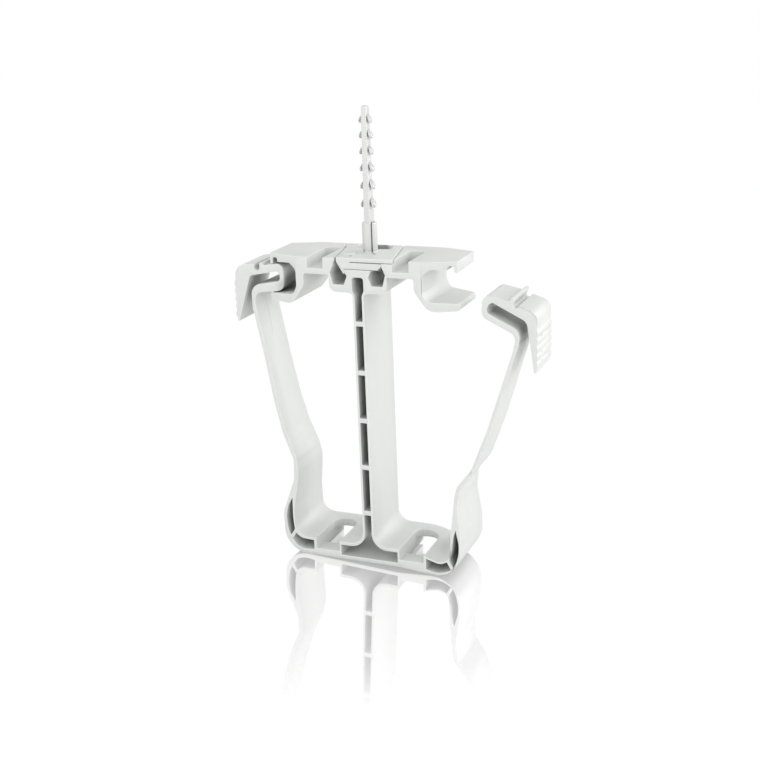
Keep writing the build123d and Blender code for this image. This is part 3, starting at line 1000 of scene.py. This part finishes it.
@dataclass
class Studio:
    """Glossy white table, white background, soft lamps and the camera.

    Attributes:
        table_left: X and Z of the table under the left end of the base.
        table_slope: Slope of the table along X, because the base's right end hangs a little.
        table_reach: Half the length of the table's side.
        table_colour: Linear colour that the table throws back on the holder.
        contact_colour: Linear colour of the coat that takes the holder's shadow.
        table_glow: Brightness that the camera sees in the table besides that coat.
        mirror_roughness: Roughness of the table's mirror.
        mirror_strength: How strongly the table mirrors right under the object.
        mirror_near: Where the mirror image starts to fade, towards the front.
        mirror_length: Over what distance it fades out.
        mirror_skew: Weight of a step along X in that distance, against one along Y.
        mirror_power: Power with which it fades.
        room_level: Brightness of the room's even light.
        lamps: The soft lamps.
        lamp_aim: Where they point.
        lens_mm: Focal length of the camera in millimetres.
        sensor_mm: Width of its sensor in millimetres.
        near_limit: Distance from which on it sees things.
        azimuth: How far it stands to the right of straight ahead.
        elevation: How far it stands above the horizon.
        roll: Its turn about its own axis.
        distance: Its distance from the target.
        target: Point that it looks at.
    """

    table_left: tuple[float, float] = (-19.4 * MM, 0.0)
    table_slope: float = -0.0322
    table_reach: float = 6.0
    table_colour: Colour = (0.86, 0.865, 0.86)
    contact_colour: Colour = (0.10, 0.10, 0.10)
    table_glow: float = 0.92
    mirror_roughness: float = 0.03
    mirror_strength: float = 0.54
    mirror_near: float = -20.0 * MM
    mirror_length: float = 70.0 * MM
    mirror_skew: float = -0.402
    mirror_power: float = 3.0
    room_level: float = 0.77
    lamps: tuple[SoftBox, ...] = (
        SoftBox("front_right_soft_box", (0.45, -0.70, 0.42), 0.5, 1.6),
        SoftBox("front_left_soft_box", (-0.45, -0.75, 0.22), 0.5, 1.5),
        SoftBox("back_right_soft_box", (0.60, 0.50, 0.30), 0.5, 2.9),
        SoftBox("right_low_soft_box", (0.68, -0.41, 0.10), 0.4, 0.4),
    )
    lamp_aim: Point = (0.0, 0.0, 0.05)
    lens_mm: float = 59.66
    sensor_mm: float = 36.0
    near_limit: float = 0.01
    azimuth: float = math.radians(22.947)
    elevation: float = math.radians(17.581)
    roll: float = math.radians(-2.239)
    distance: float = 0.35924
    target: Point = (0.001348, 0.0, 0.052869)

    def _table_height(self, x: float) -> float:
        """Find the height of the table at a place along X."""
        return self.table_left[1] + (x - self.table_left[0]) * self.table_slope

    def build_table(self) -> bpy.types.Object:
        """Build the table top and its glossy white finish.

        Returns:
            The table, marked as part of the stage.
        """
        reach = self.table_reach
        corners = [(-reach, -reach), (reach, -reach), (reach, reach), (-reach, reach)]
        mesh = bpy.data.meshes.new("table")
        mesh.from_pydata([(x, y, self._table_height(x)) for x, y in corners], [],
                         [(0, 1, 2, 3)])
        table = bpy.data.objects.new("table", mesh)
        bpy.context.scene.collection.objects.link(table)
        mesh.materials.append(self._table_finish())
        return table

    def _mirror_share(self, tree: bpy.types.NodeTree) -> bpy.types.NodeSocket:
        """Let the table's mirror image fade towards the front.

        Args:
            tree: The node tree of the table's material.

        Returns:
            Socket with the share of the mirror image.
        """
        place = add_node(tree, "ShaderNodeTexCoord").outputs["Object"]
        axes = add_node(tree, "ShaderNodeSeparateXYZ", {0: place}).outputs
        forwards = maths(tree, "MULTIPLY_ADD", axes["X"], self.mirror_skew, axes["Y"])
        faded = add_node(tree, "ShaderNodeMapRange", {
            "Value": forwards,
            "From Min": self.mirror_near,
            "From Max": self.mirror_near - self.mirror_length})
        steep = maths(tree, "POWER", faded.outputs["Result"], self.mirror_power)
        return maths(tree, "MULTIPLY_ADD", steep, -self.mirror_strength, self.mirror_strength)

    def _table_finish(self) -> bpy.types.Material:
        """Build the glossy white acrylic of the table.

        Returns:
            The material.
        """
        material = bpy.data.materials.new("white_acrylic")
        material.use_nodes = True
        tree = material.node_tree
        tree.nodes.clear()
        room = add_node(tree, "ShaderNodeBsdfDiffuse", {"Color": (*self.table_colour, 1.0)})
        contact = add_node(tree, "ShaderNodeBsdfDiffuse", {"Color": (*self.contact_colour, 1.0)})
        glow = add_node(tree, "ShaderNodeEmission", {"Strength": self.table_glow})
        bright = add_node(tree, "ShaderNodeAddShader", {
            0: contact.outputs[0], 1: glow.outputs[0]})
        gloss = add_node(tree, "ShaderNodeBsdfGlossy", {
            "Color": WHITE, "Roughness": self.mirror_roughness})
        polished = add_node(tree, "ShaderNodeMixShader", {
            0: self._mirror_share(tree), 1: bright.outputs[0], 2: gloss.outputs[0]})
        path = add_node(tree, "ShaderNodeLightPath")
        seen = add_node(tree, "ShaderNodeMixShader", {
            0: path.outputs["Is Camera Ray"], 1: room.outputs[0], 2: polished.outputs[0]})
        add_node(tree, "ShaderNodeOutputMaterial", {"Surface": seen.outputs[0]})
        return material

    def build_world(self) -> None:
        """Light the room evenly and show it white to the camera, in mirrors and through glass."""
        world = bpy.data.worlds.new("white_room")
        bpy.context.scene.world = world
        world.use_nodes = True
        tree = world.node_tree
        tree.nodes.clear()
        path = add_node(tree, "ShaderNodeLightPath").outputs
        looked_at = maths(tree, "MAXIMUM", path["Is Camera Ray"], path["Is Glossy Ray"])
        looked_at = maths(tree, "MAXIMUM", looked_at, path["Is Transmission Ray"])
        level = add_node(tree, "ShaderNodeMapRange", {
            "Value": looked_at, "To Min": self.room_level, "To Max": 1.0})
        room = add_node(tree, "ShaderNodeBackground", {
            "Color": WHITE, "Strength": level.outputs["Result"]})
        add_node(tree, "ShaderNodeOutputWorld", {"Surface": room.outputs[0]})

    def build_camera(self) -> None:
        """Stand the camera at the photograph's place."""
        sin_a, cos_a = math.sin(self.azimuth), math.cos(self.azimuth)
        sin_e, cos_e = math.sin(self.elevation), math.cos(self.elevation)
        back = Vector((sin_a * cos_e, -cos_a * cos_e, sin_e))
        level_right = Vector((cos_a, sin_a, 0.0))
        level_up = back.cross(level_right)
        right = math.cos(self.roll) * level_right + math.sin(self.roll) * level_up
        up = -math.sin(self.roll) * level_right + math.cos(self.roll) * level_up
        data = bpy.data.cameras.new("camera")
        data.sensor_width = self.sensor_mm
        data.sensor_fit = "HORIZONTAL"
        data.lens = self.lens_mm
        data.clip_start = self.near_limit
        camera = bpy.data.objects.new("camera", data)
        turn = Matrix((right, up, back)).transposed().to_4x4()
        stand = Vector(self.target) + back * self.distance
        camera.matrix_world = Matrix.Translation(stand) @ turn
        bpy.context.scene.collection.objects.link(camera)
        bpy.context.scene.camera = camera

    def build(self) -> None:
        """Set up the table, the room, the lamps and the camera."""
        self.build_table()
        self.build_world()
        for lamp in self.lamps:
            lamp.hang(self.lamp_aim)
        self.build_camera()
        bpy.context.scene.view_settings.view_transform = "Standard"


def main() -> None:
    """Build the holder piece by piece, report each piece and set up the studio."""
    logging.basicConfig(level=logging.INFO, format="%(name)s: %(message)s")
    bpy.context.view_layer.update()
    light_grey = MouldedPlastic("light_grey_plastic", marks=FRAME_MARKS_AND_PAINTED_SHADE).build()
    plug_grey = MouldedPlastic("plug_plastic", painted_shade_reach=4.0 * MM, marks=PLUG_MARKS_AND_PAINTED_SHADE).build()
    # The leaves are the plug's plastic with a darker colour painted on as shade, and painted
    # shade in the narrow gaps under them
    shaded_leaf_grey = MouldedPlastic("leaf_plastic_painted_shade", colour=(0.575, 0.58, 0.57),
                               painted_shade_reach=1.3 * MM, painted_shade_left=0.75,
                               translucence=0.6).build()
    moulded = (
        MouldedPiece("holder_frame", "frame_moulding", Body.FRAME, light_grey, cuts=SEAM_CUTS),
        MouldedPiece("left_arm", "left_latch_arm", Body.LEFT_ARM, light_grey),
        MouldedPiece("right_arm", "right_latch_arm", Body.RIGHT_ARM, light_grey),
        MouldedPiece("push_in_plug", "plug_foot", Body.FRAME, plug_grey, slot="plug_plastic",
                     cut_height=SHANK_START, cuts=(WINDOW_CUT,)),
    )
    pieces = [piece.build() for piece in moulded]
    shaft = PlugShaft()
    pieces.append(shaft.build(plug_grey))
    pieces.append(BarbRows().build(shaft, shaded_leaf_grey))
    necks = (
        NeckSkin("left_neck", Body.LEFT_ARM, bend=(-22.9, 26.0), sections=(
            (22.8, -23.64, -22.42, 8.72), (24.2, -23.60, -22.24, 8.69),
            (25.5, -23.63, -22.17, 8.55), (26.2, -23.62, -22.23, 8.47),
            (27.4, -23.63, -22.42, 8.33), (28.8, -23.73, -22.70, 8.07))),
        NeckSkin("right_neck", Body.RIGHT_ARM, bend=(26.9, 24.2), sections=(
            (21.2, 26.01, 27.12, 8.91), (22.4, 26.01, 27.41, 8.87),
            (23.8, 26.14, 27.63, 8.73), (24.6, 26.33, 27.62, 8.63),
            (25.4, 26.52, 27.76, 8.53), (26.8, 27.21, 28.40, 8.28))),
    )
    pieces += [neck.build(light_grey) for neck in necks]
    for piece in pieces:
        LOG.info("%s: %d faces", piece.name, len(piece.data.polygons))
    Studio().build()


if __name__ == "__main__":
    main()
